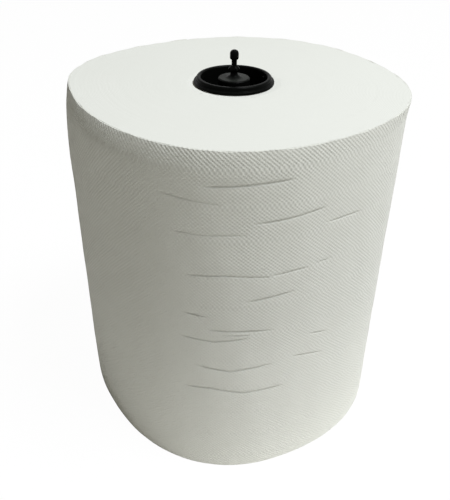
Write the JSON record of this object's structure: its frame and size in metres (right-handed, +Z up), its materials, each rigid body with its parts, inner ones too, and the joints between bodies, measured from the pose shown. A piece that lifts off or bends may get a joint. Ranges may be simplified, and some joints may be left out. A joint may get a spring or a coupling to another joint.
{
  "type": "paper towel roll",
  "caption": "Tall wound paper hand towel roll on a cardboard core, with a moulded end plug whose short headed pin stands up from the top.",
  "frame": {"origin": "centre of the base, where the core's axis meets the surface that the roll stands on", "axes": "+Z up along the core towards the pin; the pictured side faces -Y"},
  "size_m": [0.1928, 0.1928, 0.228],
  "materials": {
    "embossed_tissue": "matt white embossed tissue, two-ply",
    "cardboard": "spiral wound grey-brown cardboard",
    "black_plastic": "moulded black polypropylene, satin"
  },
  "bodies": {
    "root": {"paper_roll": "embossed_tissue", "core_tube": "cardboard", "end_plug": "black_plastic"}
  },
  "joints": []
}
